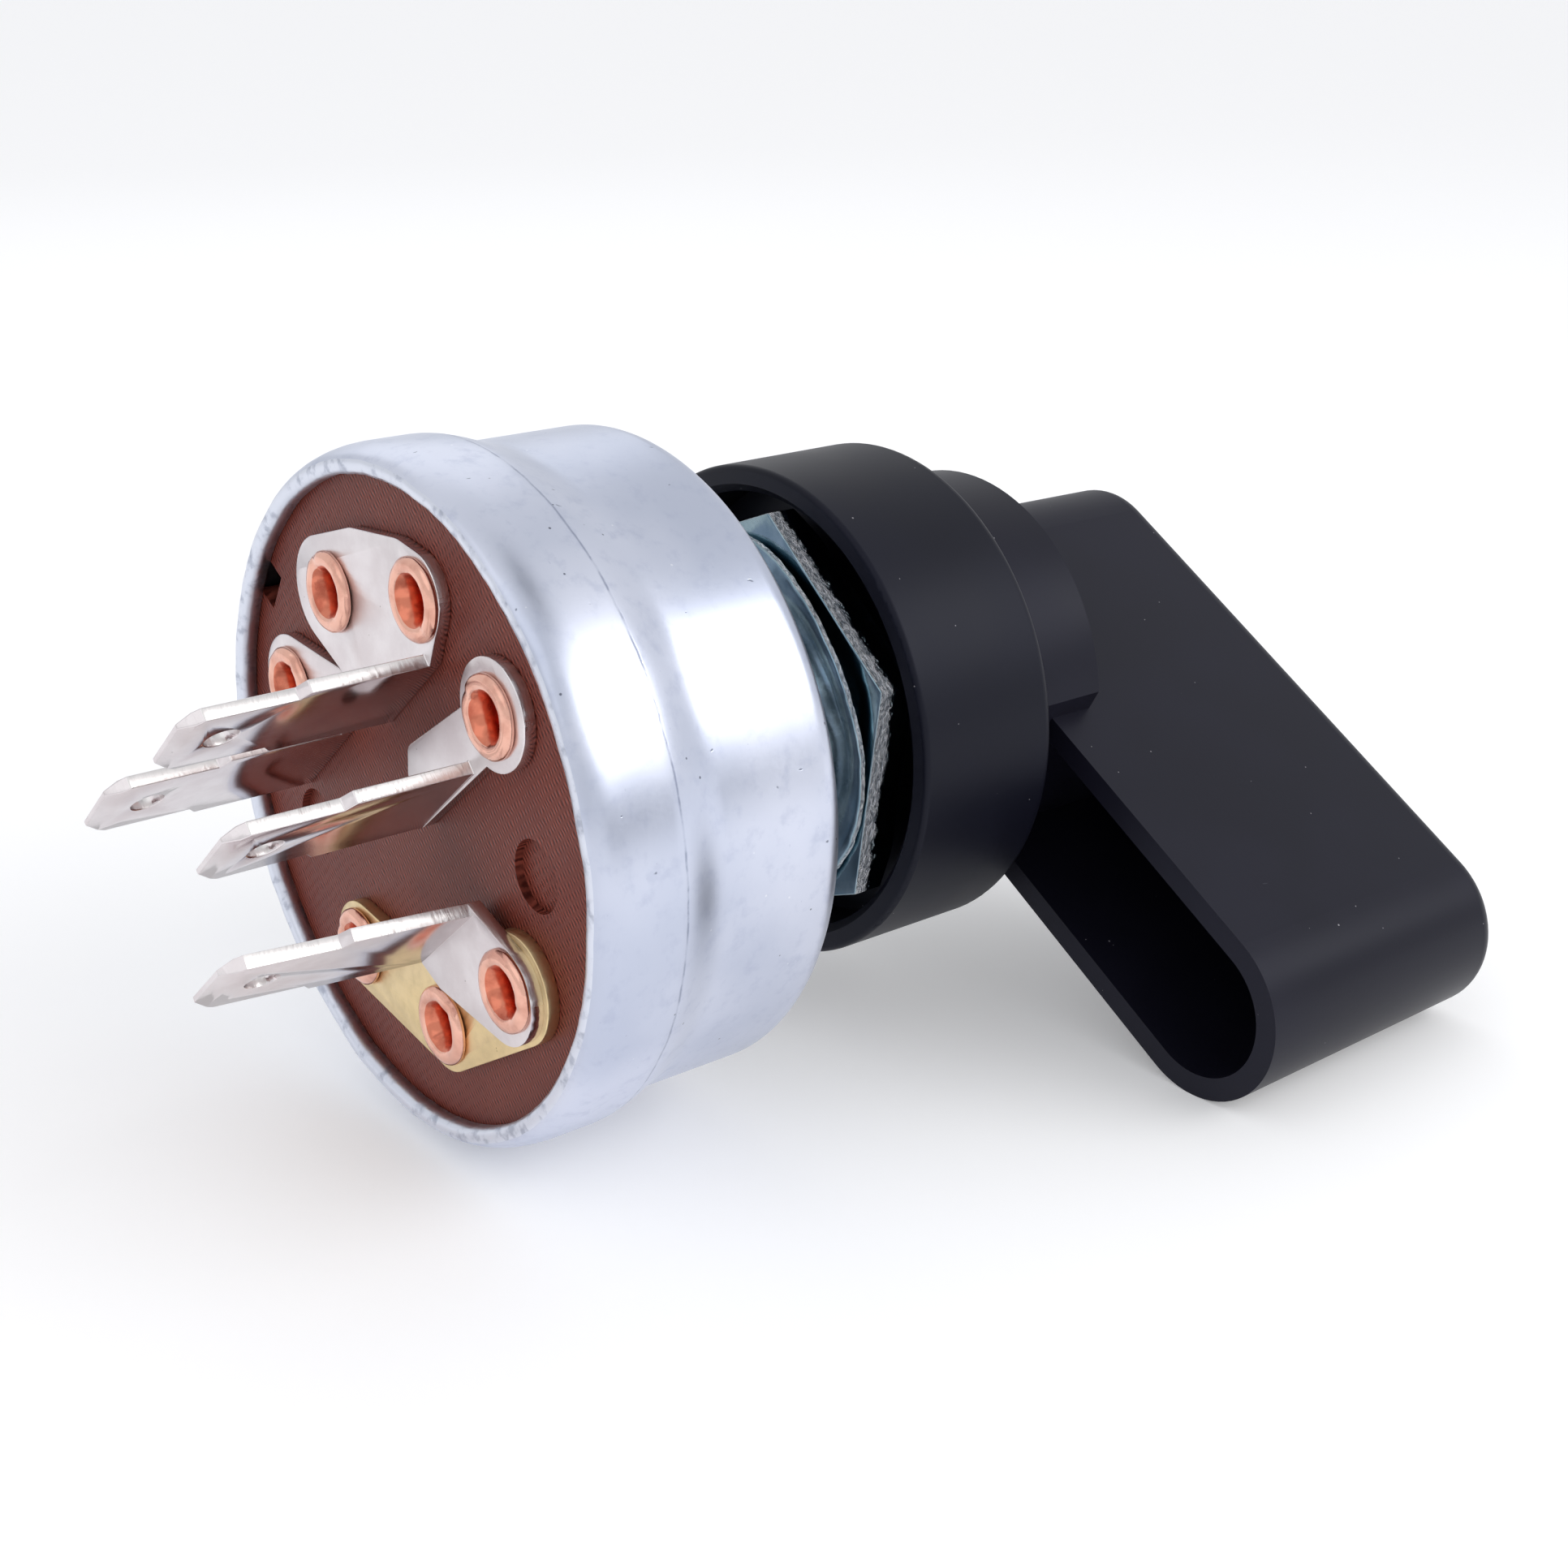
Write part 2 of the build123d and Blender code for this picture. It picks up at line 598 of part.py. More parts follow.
with BuildPart() as contact_disc:
    with BuildSketch(at_y(DISC_BACK)):
        Circle(DISC_R)
        Circle(DISC_HOLE_R, mode=Mode.SUBTRACT)
        with PolarLocations(LUG_CIRCLE, 3, start_angle=FIRST_INDEX):
            Circle(LUG_R + 0.15, mode=Mode.SUBTRACT)
    extrude(amount=DISC_T)
    dimple_sphere_r = (DIMPLE_R**2 + DIMPLE_HEIGHT**2) / (2 * DIMPLE_HEIGHT)
    dimple_y = DISC_BACK + DIMPLE_HEIGHT - dimple_sphere_r
    dimple_places = [polar(CONTACT_R, angle) for angle in DIMPLE_ANGLES]
    with BuildSketch(at_y(DISC_BACK - DISC_T / 2)):
        with Locations(dimple_places):
            Circle(DIMPLE_R - 0.1)
    extrude(amount=-0.1)
    with Locations([(x, dimple_y, z) for x, z in dimple_places]):
        Sphere(dimple_sphere_r)
    with Locations([(x, dimple_y - DISC_T, z) for x, z in dimple_places]):
        Sphere(dimple_sphere_r, mode=Mode.SUBTRACT)
    split(bisect_by=at_y(DISC_BACK - DISC_T), keep=Keep.BOTTOM)
save(contact_disc.part, "contact_disc")

contact_spring = coil_spring(
    center=(0, 0),
    coil_r=CONTACT_COIL_R,
    wire_r=CONTACT_WIRE_R,
    start_y=ROTOR_BACK - SPRING_SEAT_DEPTH + CONTACT_SPRING_GAP,
    end_y=DISC_BACK - DISC_T - CONTACT_SPRING_GAP,
    turns=CONTACT_TURNS,
)
save(contact_spring, "contact_spring")

# ---- lever ------------------------------------------------------------------------------

grub_x, grub_z = polar(1, LEVER_ANGLE + 90)
grub_plane = Plane(origin=(0, GRUB_Y, 0), x_dir=(0, 1, 0), z_dir=(grub_x, 0, grub_z))


def along_lever(reach, side=0.0):
    """Local place in an at_y plane, measured along and across the lever."""
    x, z = polar(reach, LEVER_ANGLE)
    across_x, across_z = polar(side, LEVER_ANGLE + 90)
    return (x + across_x, z + across_z)


def lever_outline(half_width, butt, reach):
    """Stadium along the lever, from its butt end to its tip."""
    length = butt + reach
    with Locations(Location(along_lever((reach - butt) / 2), LEVER_ANGLE)):
        SlotOverall(length, 2 * half_width)


with BuildPart() as lever_knob:
    with BuildSketch(at_y(LEVER_BACK)):
        lever_outline(LEVER_HALF, LEVER_BUTT, LEVER_REACH)
    extrude(amount=LEVER_BACK - LEVER_FRONT, taper=LEVER_DRAFT)
    fillet(lever_knob.faces().sort_by(Axis.Y)[0].edges(), LEVER_EDGE_R)
    # hollow, open at the back beyond the boss
    with BuildSketch(at_y(LEVER_BACK)):
        lever_outline(LEVER_HALF - LEVER_WALL, LEVER_BUTT - LEVER_WALL, LEVER_REACH - LEVER_WALL)
        with Locations(Location(along_lever(BOSS_TRIM), LEVER_ANGLE)):
            Rectangle(60, 40, align=(Align.MIN, Align.CENTER), mode=Mode.INTERSECT)
    extrude(amount=LEVER_BACK - LEVER_FRONT - LEVER_FLOOR_T, taper=LEVER_DRAFT, mode=Mode.SUBTRACT)
    # round boss, trimmed flat on the side of the tip
    with BuildSketch(at_y(BOSS_BACK)):
        Circle(BOSS_R)
        with Locations(Location(along_lever(BOSS_TRIM), LEVER_ANGLE)):
            Rectangle(60, 40, align=(Align.MAX, Align.CENTER), mode=Mode.INTERSECT)
    extrude(amount=BOSS_BACK - BOSS_FRONT)
    # recess over the circlip, and the socket of the shaft
    with BuildSketch(at_y(BOSS_BACK)):
        Circle(CIRCLIP_RECESS_R)
    extrude(amount=CIRCLIP_RECESS_DEPTH, mode=Mode.SUBTRACT)
    with BuildSketch(at_y(BOSS_BACK)):
        Circle(SHAFT_R + RUNNING)
    extrude(amount=BOSS_BACK - SHAFT_FRONT + SOCKET_END_GAP, mode=Mode.SUBTRACT)
    # tapped hole of the grub screw
    with BuildSketch(grub_plane):
        Circle(GRUB_R + RUNNING)
    extrude(amount=BOSS_R, mode=Mode.SUBTRACT)
save(lever_knob.part, "lever_knob")

# Slotted grub screw, in the side of the boss away from the upper flank.
with BuildPart() as grub_screw:
    with BuildSketch(grub_plane.offset(SHAFT_FLAT + SEAT_GAP)):
        Circle(GRUB_R)
    extrude(amount=GRUB_LENGTH)
    chamfer(grub_screw.edges().filter_by(GeomType.CIRCLE), GRUB_CHAMFER)
    with BuildSketch(grub_plane.offset(SHAFT_FLAT + SEAT_GAP + GRUB_LENGTH)):
        Rectangle(4 * GRUB_R, GRUB_SLOT_WIDTH)
    extrude(amount=-GRUB_SLOT_DEPTH, mode=Mode.SUBTRACT)
save(grub_screw.part, "grub_screw")
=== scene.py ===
"""Looks of the rotary lever switch: materials, edges, eyelets, washer, light and camera."""

import math
import random

import bmesh
import bpy
from mathutils import Matrix, Vector, noise


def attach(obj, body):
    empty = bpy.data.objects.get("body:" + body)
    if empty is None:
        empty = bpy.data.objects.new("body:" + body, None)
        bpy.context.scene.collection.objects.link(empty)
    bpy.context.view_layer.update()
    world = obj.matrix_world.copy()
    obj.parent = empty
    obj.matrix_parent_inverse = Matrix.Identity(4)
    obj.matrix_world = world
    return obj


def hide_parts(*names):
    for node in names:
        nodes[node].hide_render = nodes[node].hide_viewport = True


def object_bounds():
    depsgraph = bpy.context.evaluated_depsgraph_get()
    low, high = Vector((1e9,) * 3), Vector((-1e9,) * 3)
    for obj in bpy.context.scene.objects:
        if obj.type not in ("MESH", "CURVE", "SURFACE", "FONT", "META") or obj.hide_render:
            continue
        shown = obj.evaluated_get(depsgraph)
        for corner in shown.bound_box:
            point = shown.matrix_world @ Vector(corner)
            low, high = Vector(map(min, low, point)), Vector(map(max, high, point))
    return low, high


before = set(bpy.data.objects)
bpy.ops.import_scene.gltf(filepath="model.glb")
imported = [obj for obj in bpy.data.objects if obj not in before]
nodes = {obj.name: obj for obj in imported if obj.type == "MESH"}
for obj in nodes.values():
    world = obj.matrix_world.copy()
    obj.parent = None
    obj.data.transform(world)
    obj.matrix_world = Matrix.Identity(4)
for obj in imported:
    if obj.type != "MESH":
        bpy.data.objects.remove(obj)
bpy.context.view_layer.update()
rng = random.Random(7)

MM = 0.001
TAB_DIRECTION = math.radians(140.0)  # direction of the blades' width, about the shaft
TAB_WIDTH_AXIS = (math.cos(TAB_DIRECTION), 0.0, math.sin(TAB_DIRECTION))
SHAFT_AXIS = (0.0, 1.0, 0.0)
SEAM_Y = 18.4  # the dark line near the top of the step up to the can's band, in mm
TORN_FROM = -1.75  # the nut's flats are torn where y in mm and a share of noise come over this
TORN_WANDER = 1.6  # the share of noise, in mm
TORN_FADE = 0.15


# ---- shader helpers ---------------------------------------------------------------------

DASH_CROWDING = 2.2  # cells of dashes to one cell of the scale asked for


class Shader:
    """A material under construction, with short calls for the nodes used here."""

    def __init__(self, name):
        self.material = bpy.data.materials.new(name)
        self.material.use_nodes = True
        self.tree = self.material.node_tree
        self.surface = self.tree.nodes["Principled BSDF"]
        place = self.tree.nodes.new("ShaderNodeTexCoord").outputs["Object"]
        self.mm = self.vector("SCALE", place, scale=1000.0)

    def link(self, source, socket):
        if isinstance(source, bpy.types.NodeSocket):
            self.tree.links.new(source, socket)
        else:
            socket.default_value = source

    def vector(self, operation, a, b=None, scale=None):
        node = self.tree.nodes.new("ShaderNodeVectorMath")
        node.operation = operation
        self.link(a, node.inputs[0])
        if b is not None:
            self.link(b, node.inputs[1])
        if scale is not None:
            node.inputs["Scale"].default_value = scale
        return node.outputs["Value" if operation == "DOT_PRODUCT" else "Vector"]

    def math(self, operation, a, b=0.0, c=0.0):
        node = self.tree.nodes.new("ShaderNodeMath")
        node.operation = operation
        for value, socket in zip((a, b, c), node.inputs):
            self.link(value, socket)
        return node.outputs[0]

    def stretched(self, factors):
        """The place in mm, with each axis multiplied, so a low factor draws a pattern out."""
        return self.vector("MULTIPLY", self.mm, factors)

    def noise(self, scale, detail=3.0, roughness=0.55, place=None, distortion=0.0):
        node = self.tree.nodes.new("ShaderNodeTexNoise")
        self.link(place or self.mm, node.inputs["Vector"])
        node.inputs["Scale"].default_value = scale
        node.inputs["Detail"].default_value = detail
        node.inputs["Roughness"].default_value = roughness
        node.inputs["Distortion"].default_value = distortion
        return node.outputs["Fac"]

    def noise_colour(self, scale):
        node = self.tree.nodes.new("ShaderNodeTexNoise")
        self.link(self.mm, node.inputs["Vector"])
        node.inputs["Scale"].default_value = scale
        return node.outputs["Color"]

    def cells(self, scale, feature="F1", place=None):
        node = self.tree.nodes.new("ShaderNodeTexVoronoi")
        node.feature = feature
        self.link(place or self.mm, node.inputs["Vector"])
        node.inputs["Scale"].default_value = scale
        return node

    def steps(self, value, low, high, out_low=0.0, out_high=1.0):
        """Smooth change from out_low to out_high while value goes from low to high."""
        node = self.tree.nodes.new("ShaderNodeMapRange")
        node.interpolation_type = "SMOOTHSTEP"
        self.link(value, node.inputs["Value"])
        names = ("From Min", "From Max", "To Min", "To Max")
        for name, number in zip(names, (low, high, out_low, out_high)):
            node.inputs[name].default_value = number
        return node.outputs["Result"]

    def mix(self, share, a, b):
        node = self.tree.nodes.new("ShaderNodeMix")
        node.data_type = "RGBA"
        self.link(share, node.inputs["Factor"])
        for colour, socket in ((a, node.inputs[6]), (b, node.inputs[7])):
            self.link((*colour, 1.0) if isinstance(colour, tuple) else colour, socket)
        return node.outputs[2]

    def specks(self, scale, radius, share):
        """1 inside scattered round specks of a radius in cells, in a share of the cells."""
        cells = self.cells(scale)
        inside = self.steps(cells.outputs["Distance"], radius * 0.6, radius, 1.0, 0.0)
        chosen = self.vector("DOT_PRODUCT", cells.outputs["Color"], (1.0, 0.0, 0.0))
        return self.math("MULTIPLY", inside, self.math("LESS_THAN", chosen, share))

    def band(self, y_mm, half_width, waver):
        """1 on a thin wavering ring round the shaft at a place along it."""
        along = self.vector("DOT_PRODUCT", self.mm, SHAFT_AXIS)
        away = self.math("SUBTRACT", along, y_mm - waver / 2)
        away = self.math("SUBTRACT", away, self.math("MULTIPLY", self.noise(0.5, 4.0), waver))
        broken = self.steps(self.noise(0.9, 3.0), 0.35, 0.60, 0.25, 1.0)
        return self.math("MULTIPLY", broken,
                         self.steps(self.math("ABSOLUTE", away), 0.0, half_width, 1.0, 0.0))

    def dashes(self, scale, stretch, radius, share):
        """1 inside scattered dashes: bent specks, longer along an axis with a low stretch."""
        bent = self.vector("ADD", self.stretched(stretch),
                           self.vector("SCALE", self.noise_colour(1.1), scale=0.5))
        cells = self.cells(scale * DASH_CROWDING, place=bent)
        inside = self.steps(cells.outputs["Distance"], radius * 0.5, radius, 1.0, 0.0)
        chosen = self.vector("DOT_PRODUCT", cells.outputs["Color"], (0.0, 1.0, 0.0))
        return self.math("MULTIPLY", inside, self.math("LESS_THAN", chosen, share))

    def bump(self, height, distance_mm, strength=1.0, before=None):
        node = self.tree.nodes.new("ShaderNodeBump")
        self.link(height, node.inputs["Height"])
        node.inputs["Distance"].default_value = distance_mm * MM
        node.inputs["Strength"].default_value = strength
        if before is not None:
            self.link(before, node.inputs["Normal"])
        return node.outputs["Normal"]

    def finish(self, colour, roughness, metallic=0.0, normal=None, **plain):
        """Fill in the surface; plain holds more of its inputs, with _ for each space."""
        self.link((*colour, 1.0) if isinstance(colour, tuple) else colour,
                  self.surface.inputs["Base Color"])
        self.link(roughness, self.surface.inputs["Roughness"])
        self.link(metallic, self.surface.inputs["Metallic"])
        if normal is not None:
            self.link(normal, self.surface.inputs["Normal"])
        for name, value in plain.items():
            self.surface.inputs[name.replace("_", " ")].default_value = value
        return self.material


# ---- materials --------------------------------------------------------------------------


def zinc_plate():
    s = Shader("zinc_plate")
    cool = (0.55, 0.59, 0.71)
    pale = (0.68, 0.71, 0.82)
    mottled = (0.44, 0.48, 0.62)
    rubbed = (0.42, 0.46, 0.60)
    shadowed = (0.26, 0.29, 0.40)
    nicked = (0.16, 0.18, 0.24)
    pitted = (0.10, 0.11, 0.15)
    glinting = (0.92, 0.93, 0.98)
    cloud = s.noise(0.07, 3.0, 0.5)
    mottle = s.noise(0.9, 4.0, 0.6)
    fine = s.noise(6.0, 3.0, 0.6)
    hairs = s.noise(1.0, 2.0, place=s.stretched((0.3, 6.0, 0.3)))
    nicks = s.dashes(0.42, (1.2, 0.5, 0.7), 0.07, 0.75)
    rubs = s.dashes(0.30, (0.25, 1.4, 1.0), 0.06, 0.80)
    pits = s.specks(0.50, 0.05, 0.75)
    bright = s.specks(0.70, 0.06, 0.30)
    seam = s.band(SEAM_Y, 0.13, 0.25)
    colour = s.mix(s.steps(cloud, 0.38, 0.65), cool, pale)
    colour = s.mix(s.math("MULTIPLY", s.steps(mottle, 0.48, 0.78), 0.45), colour, mottled)
    colour = s.mix(s.math("MULTIPLY", rubs, 0.35), colour, rubbed)
    colour = s.mix(s.math("MULTIPLY", seam, 0.80), colour, shadowed)
    colour = s.mix(s.math("MULTIPLY", nicks, 0.75), colour, nicked)
    colour = s.mix(s.math("MULTIPLY", pits, 0.85), colour, pitted)
    colour = s.mix(s.math("MULTIPLY", bright, 0.5), colour, glinting)
    rough = s.math("ADD", s.steps(cloud, 0.35, 0.7, 0.29, 0.35), s.steps(fine, 0.3, 0.8, 0.0, 0.05))
    normal = s.bump(hairs, 0.004, 0.25)
    normal = s.bump(mottle, 0.012, 0.20, normal)
    normal = s.bump(s.math("SUBTRACT", 1.0, s.math("MAXIMUM", seam, nicks)), 0.02, 0.5, normal)
    return s.finish(colour, rough, 1.0, normal)


def crimped_edge():
    s = Shader("crimped_edge")
    bare = (0.72, 0.75, 0.84)
    dark = (0.46, 0.49, 0.58)
    torn = s.noise(1.1, 3.0, 0.55)
    colour = s.mix(s.steps(torn, 0.50, 0.72), bare, dark)
    normal = s.bump(torn, 0.05, 0.5)
    return s.finish(colour, s.steps(torn, 0.3, 0.7, 0.28, 0.45), 1.0, normal)


def canvas_phenolic():
    s = Shader("canvas_phenolic")
    hollow = (0.058, 0.010, 0.007)
    thread = (0.260, 0.060, 0.040)
    stained = (0.110, 0.024, 0.020)
    fibrous = (0.240, 0.075, 0.048)
    dusty = (0.45, 0.33, 0.28)
    pitch_mm = 0.30
    along = s.vector("DOT_PRODUCT", s.mm, TAB_WIDTH_AXIS)
    across = s.vector("DOT_PRODUCT", s.mm, (-TAB_WIDTH_AXIS[2], 0.0, TAB_WIDTH_AXIS[0]))
    wander = s.math("MULTIPLY", s.noise(0.8, 3.0), 0.5)
    turn = 2.0 * math.pi / pitch_mm
    warp = s.math("SINE", s.math("MULTIPLY", s.math("ADD", along, wander), turn))
    weft = s.math("SINE", s.math("MULTIPLY", s.math("ADD", across, wander), turn * 0.5))
    weave = s.math("MULTIPLY_ADD", s.math("MULTIPLY", warp, weft), 0.22,
                   s.math("MULTIPLY_ADD", warp, 0.28, 0.5))
    tone = s.noise(0.22, 4.0, 0.6)
    fibre = s.noise(5.0, 3.0, 0.7)
    colour = s.mix(s.steps(weave, 0.1, 0.9), hollow, thread)
    colour = s.mix(s.math("MULTIPLY", s.steps(tone, 0.4, 0.7), 0.4), colour, stained)
    colour = s.mix(s.math("MULTIPLY", s.steps(fibre, 0.55, 0.8), 0.30), colour, fibrous)
    colour = s.mix(s.math("MULTIPLY", s.specks(1.1, 0.06, 0.10), 0.5), colour, dusty)
    normal = s.bump(weave, 0.030, 0.6)
    normal = s.bump(fibre, 0.015, 0.35, normal)
    rough = s.steps(fibre, 0.3, 0.75, 0.30, 0.46)
    return s.finish(colour, rough, 0.0, normal, Specular_IOR_Level=0.16)


def nickel_plate():
    """Nickel on the blades: their sheared edges are half torn, and edges and feet are satin."""
    s = Shader("nickel_plate")
    warm = (0.72, 0.66, 0.67)
    pale = (0.80, 0.75, 0.76)
    speck = (0.20, 0.16, 0.14)
    cut = (0.84, 0.81, 0.80)
    torn_dark = (0.46, 0.41, 0.40)
    geometry = s.tree.nodes.new("ShaderNodeNewGeometry").outputs["True Normal"]
    side = s.math("ABSOLUTE", s.vector("DOT_PRODUCT", geometry, TAB_WIDTH_AXIS))
    rolled = s.noise(1.0, 3.0, 0.6, s.stretched((7.0, 0.5, 7.0)))
    tone = s.noise(0.45, 4.0, 0.6)
    sheared = s.steps(side, 0.75, 0.9)
    tearing = s.noise(1.0, 3.0, 0.6, s.stretched((0.8, 5.0, 0.8)))
    torn = s.math("MULTIPLY", s.steps(tearing, 0.50, 0.72), s.steps(tone, 0.40, 0.60))
    colour = s.mix(s.steps(tone, 0.35, 0.7), warm, pale)
    colour = s.mix(s.math("MULTIPLY", s.specks(1.3, 0.07, 0.12), 0.7), colour, speck)
    torn_colour = s.mix(s.math("MULTIPLY", torn, 0.7), cut, torn_dark)
    colour = s.mix(sheared, colour, torn_colour)
    foot = s.math("ABSOLUTE", s.vector("DOT_PRODUCT", geometry, SHAFT_AXIS))
    satin = s.math("MULTIPLY", s.math("MAXIMUM", sheared, s.steps(foot, 0.85, 0.97)), 0.16)
    rough = s.math("ADD", s.steps(rolled, 0.3, 0.75, 0.15, 0.20), satin)
    normal = s.bump(rolled, 0.002, 0.2)
    normal = s.bump(s.math("MULTIPLY", tearing, sheared), 0.035, 0.6, normal)
    return s.finish(colour, rough, 1.0, normal)


def rolled_brass():
    s = Shader("rolled_brass")
    yellow = (0.82, 0.64, 0.36)
    dull = (0.70, 0.55, 0.31)
    speck = (0.24, 0.17, 0.07)
    streaks = s.noise(1.0, 3.0, 0.6, s.stretched((0.9, 6.0, 5.0)))
    stain = s.noise(0.55, 4.0, 0.65)
    colour = s.mix(s.steps(stain, 0.35, 0.7), yellow, dull)
    colour = s.mix(s.math("MULTIPLY", s.specks(1.6, 0.09, 0.14), 0.75), colour, speck)
    normal = s.bump(streaks, 0.008, 0.35)
    return s.finish(colour, s.steps(stain, 0.3, 0.7, 0.30, 0.42), 1.0, normal)


def copper(name, bright, dull, smooth, rougher):
    s = Shader(name)
    speck = (0.22, 0.08, 0.06)
    stain = s.noise(0.9, 3.0, 0.55)
    grain = s.noise(7.0, 3.0, 0.6)
    colour = s.mix(s.steps(stain, 0.40, 0.70), bright, dull)
    colour = s.mix(s.math("MULTIPLY", s.specks(1.8, 0.08, 0.07), 0.6), colour, speck)
    normal = s.bump(grain, 0.006, 0.35)
    return s.finish(colour, s.steps(stain, 0.3, 0.7, smooth, rougher), 1.0, normal)


def black_plastic(name, colour, smooth, rougher, grain_height):
    s = Shader(name)
    rubbed_grey = (0.20, 0.20, 0.24)
    dust_grey = (0.50, 0.48, 0.52)
    grain = s.noise(8.0, 2.0, 0.5)
    cloud = s.noise(0.10, 2.0, 0.5)
    rubbed = s.dashes(0.5, (1.0, 0.3, 0.6), 0.05, 0.10)
    dust = s.math("MAXIMUM", s.specks(0.95, 0.045, 0.35), s.specks(0.36, 0.030, 0.50))
    lighter = tuple(channel * 1.3 for channel in colour)
    shade = s.mix(s.steps(cloud, 0.35, 0.7), colour, lighter)
    shade = s.mix(s.math("MULTIPLY", rubbed, 0.10), shade, rubbed_grey)
    shade = s.mix(s.math("MULTIPLY", dust, 0.6), shade, dust_grey)
    normal = s.bump(grain, grain_height, 0.5)
    return s.finish(shade, s.steps(cloud, 0.3, 0.7, smooth, rougher), 0.0, normal,
                    Specular_IOR_Level=0.20, Specular_Tint=(0.82, 0.85, 1.0, 1.0))


def stamped_zinc():
    """Bright zinc on a stamped part: its faces along the shaft are torn near its back."""
    s = Shader("stamped_zinc")
    blue_grey = (0.20, 0.29, 0.34)
    grey = (0.30, 0.40, 0.45)
    torn_grey = (0.34, 0.38, 0.42)
    torn_white = (0.95, 0.96, 0.98)
    geometry = s.tree.nodes.new("ShaderNodeNewGeometry").outputs["True Normal"]
    facing = s.math("ABSOLUTE", s.vector("DOT_PRODUCT", geometry, SHAFT_AXIS))
    depth = s.vector("DOT_PRODUCT", s.mm, SHAFT_AXIS)
    ragged = s.math("ADD", depth, s.math("MULTIPLY", s.noise(0.8, 4.0, 0.65), TORN_WANDER))
    strip = s.steps(ragged, TORN_FROM - TORN_FADE, TORN_FROM + TORN_FADE)
    edge = s.math("MULTIPLY", strip, s.steps(facing, 0.25, 0.5, 1.0, 0.0))
    torn = s.noise(2.2, 5.0, 0.7, s.stretched((1.0, 1.6, 1.0)))
    tone = s.noise(0.6, 3.0)
    colour = s.mix(s.steps(tone, 0.35, 0.7), blue_grey, grey)
    colour = s.mix(edge, colour, s.mix(s.steps(torn, 0.35, 0.6), torn_grey, torn_white))
    rough = s.math("ADD", 0.14, s.math("MULTIPLY", edge, 0.12))
    normal = s.bump(s.math("MULTIPLY", torn, edge), 0.55, 0.9)
    normal = s.bump(s.noise(3.0, 4.0), 0.010, 0.4, normal)
    return s.finish(colour, rough, 1.0, normal)


def turned_steel(name, colour, roughness):
    s = Shader(name)
    rings = s.noise(1.0, 3.0, 0.6, s.stretched((0.6, 9.0, 0.6)))
    tone = s.noise(0.7, 3.0)
    darker = tuple(channel * 0.7 for channel in colour)
    shade = s.mix(s.steps(tone, 0.35, 0.7), colour, darker)
    normal = s.bump(rings, 0.012, 0.4)
    return s.finish(shade, s.steps(tone, 0.3, 0.7, roughness, roughness + 0.12), 1.0, normal)


def moulded_phenolic():
    s = Shader("moulded_phenolic")
    dark_brown = (0.028, 0.016, 0.012)
    brown = (0.060, 0.034, 0.024)
    flakes = s.noise(2.4, 5.0, 0.7)
    tone = s.noise(0.3, 3.0)
    colour = s.mix(s.steps(flakes, 0.4, 0.7), dark_brown, brown)
    normal = s.bump(flakes, 0.02, 0.35)
    return s.finish(colour, s.steps(tone, 0.3, 0.7, 0.34, 0.5), 0.0, normal)


ZINC = zinc_plate()
EDGE = crimped_edge()
BOARD = canvas_phenolic()
NICKEL = nickel_plate()
BRASS = rolled_brass()
COPPER_FLANGE = copper("copper_flange", (0.88, 0.50, 0.39), (0.74, 0.38, 0.29), 0.16, 0.26)
# The bore's copper is a darker, redder copy of the flange's copper: painted shade inside the hole.
COPPER_BORE_SHADED = copper("copper_bore_shaded", (0.74, 0.24, 0.15), (0.50, 0.13, 0.08), 0.18, 0.28)
RING_BLACK = black_plastic("ring_black", (0.0040, 0.0042, 0.0090), 0.40, 0.46, 0.004)
LEVER_BLACK = black_plastic("lever_black", (0.0065, 0.0062, 0.0120), 0.36, 0.42, 0.006)
STAMPED = stamped_zinc()
STEEL = turned_steel("turned_steel", (0.62, 0.63, 0.65), 0.24)
SPRING_STEEL = turned_steel("spring_steel", (0.50, 0.50, 0.52), 0.30)
INNER = moulded_phenolic()

NODE_MATERIALS = {
    ZINC: ["can_housing"],
    BOARD: ["base_board"],
    RING_BLACK: ["bezel_ring"],
    LEVER_BLACK: ["lever_knob"],
    BRASS: ["jumper_plate", "contact_disc"],
    INNER: ["rotor", "spacer_ring"],
    STEEL: ["threaded_bush", "shaft", "shaft_circlip", "thrust_washer", "detent_plate",
            "detent_ball", "grub_screw"],
    SPRING_STEEL: ["detent_spring", "contact_spring"],
    STAMPED: ["hex_nut", "wave_washer"],
    COPPER_FLANGE: ["contact_eyelets"],
    NICKEL: ["terminal_upper", "terminal_left", "terminal_right", "terminal_feed"],
}
for material, names in NODE_MATERIALS.items():
    for name in names:
        nodes[name].data.materials.clear()
        nodes[name].data.materials.append(material)


# ---- mesh helpers -----------------------------------------------------------------------

SEED_SPACING = 7.3  # how far apart in the noise two seeds are
WELD_MM = 0.002
FLAT_ANGLE = math.radians(1.0)  # faces that meet at less than this become one
BEVEL_SEGMENTS = 2
BEVEL_ANGLE = math.radians(35.0)  # edges sharper than this are rounded


def new_piece(name, bm, materials, smooth=True):
    """Object from a bmesh, in metres, with its materials."""
    mesh = bpy.data.meshes.new(name)
    bmesh.ops.recalc_face_normals(bm, faces=bm.faces)
    bm.to_mesh(mesh)
    bm.free()
    for material in materials:
        mesh.materials.append(material)
    for polygon in mesh.polygons:
        polygon.use_smooth = smooth
    piece = bpy.data.objects.new(name, mesh)
    bpy.context.scene.collection.objects.link(piece)
    return piece


def wobble(seed, angle, scale):
    """Smooth noise round a circle, about -1 to 1."""
    place = Vector((math.cos(angle) * scale, math.sin(angle) * scale, seed * SEED_SPACING))
    return noise.noise(place)


